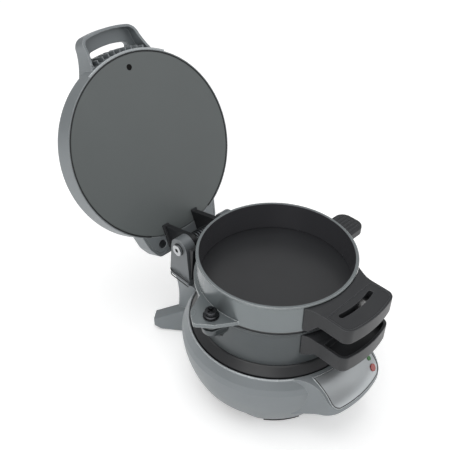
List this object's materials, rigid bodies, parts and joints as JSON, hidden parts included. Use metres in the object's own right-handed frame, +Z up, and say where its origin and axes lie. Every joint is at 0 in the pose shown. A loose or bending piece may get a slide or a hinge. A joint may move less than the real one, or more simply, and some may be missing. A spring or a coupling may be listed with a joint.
{
  "type": "breakfast sandwich maker",
  "caption": "Countertop sandwich maker with hinged heated lid, stacked hinged cooking rings with black grips, and a swing-out cooking plate between them.",
  "frame": {"origin": "on the table plane, below the shared vertical axis of the two cooking rings", "axes": "+Z up; -Y toward the user (handles and control panel); +Y toward the hinge; +X to the user's right (the cooking plate's tab)"},
  "size_m": [0.1614, 0.2665, 0.2191],
  "materials": {
    "housing_plastic": "satin silver-grey, moulded",
    "black_plastic": "satin moulded phenolic",
    "ring_coating": "smooth non-stick coating, satin",
    "dark_plate": "dark non-stick coating",
    "lid_plate_coating": "matt grey non-stick coating",
    "panel_silver": "satin silver",
    "red_lens": "clear red, polished",
    "green_lens": "clear green, polished",
    "board_green": "solder-masked board",
    "element_steel": "drawn tube, dull",
    "sheet_steel": "zinc-plated sheet",
    "screw_steel": "plated screw steel",
    "pin_steel": "bright steel",
    "foot_rubber": "matt rubber"
  },
  "bodies": {
    "base": {"base_housing": "housing_plastic", "front_feet": "housing_plastic", "rear_tower": "housing_plastic", "hinge_bracket": "housing_plastic", "base_cover": "black_plastic", "base_screws": "screw_steel", "front_foot_pads": "foot_rubber", "rear_foot_pads": "foot_rubber", "control_panel": "panel_silver", "power_light_lens": "red_lens", "preheat_light_lens": "green_lens", "light_board": "board_green", "lower_heating_plate": "dark_plate", "lower_heating_element": "element_steel", "heat_shield": "sheet_steel", "lower_thermostat": "sheet_steel", "thermal_fuse": "sheet_steel", "terminal_block": "black_plastic", "cord_gland": "black_plastic", "hinge_pin": "pin_steel", "hinge_pin_clip": "pin_steel", "hinge_spring": "pin_steel"},
    "ring_mount": {"ring_carrier": "black_plastic", "carrier_wings": "black_plastic", "ring_hinge_pin": "pin_steel"},
    "lower_ring": {"bottom_ring": "ring_coating", "bottom_ring_knuckles": "ring_coating", "pivot_rest": "ring_coating", "bottom_ring_handle": "black_plastic", "bottom_ring_rivets": "pin_steel"},
    "upper_ring": {"top_ring": "ring_coating", "top_ring_handle": "black_plastic", "top_ring_rivets": "pin_steel", "pivot_screw": "screw_steel", "pivot_washer": "screw_steel", "pivot_spring_washer": "screw_steel"},
    "swing_plate": {"cooking_plate": "dark_plate", "pivot_bushing": "screw_steel", "plate_handle": "black_plastic", "plate_handle_rivets": "pin_steel"},
    "lid": {"lid_shell": "housing_plastic", "lid_handle": "housing_plastic", "lid_neck_cover": "housing_plastic", "lid_neck_screws": "screw_steel", "lid_heating_plate": "lid_plate_coating", "lid_plate_screw": "screw_steel", "upper_heating_element": "element_steel", "upper_thermal_cutoff": "sheet_steel", "lid_arm_left": "black_plastic", "lid_arm_right": "black_plastic"}
  },
  "joints": [
    {"name": "lid_hinge", "type": "hinge", "parent": "base", "child": "lid", "pos_m": [0, 0.0712, 0.088], "axis": [-1, 0, 0], "range_deg": [-113.6, 0]},
    {"name": "ring_assembly_lift", "type": "slide", "parent": "base", "child": "ring_mount", "axis": [0, 0, 1], "range_m": [0, 0.045]},
    {"name": "bottom_ring_hinge", "type": "hinge", "parent": "ring_mount", "child": "lower_ring", "pos_m": [0, 0.0605, 0.094], "axis": [-1, 0, 0], "range_deg": [0, 45]},
    {"name": "top_ring_hinge", "type": "hinge", "parent": "lower_ring", "child": "upper_ring", "pos_m": [0, 0.0605, 0.094], "axis": [-1, 0, 0], "range_deg": [0, 60]},
    {"name": "cooking_plate_swivel", "type": "hinge", "parent": "upper_ring", "child": "swing_plate", "pos_m": [-0.0605, 0, 0.0924], "axis": [0, 0, -1], "range_deg": [0, 115]}
  ]
}
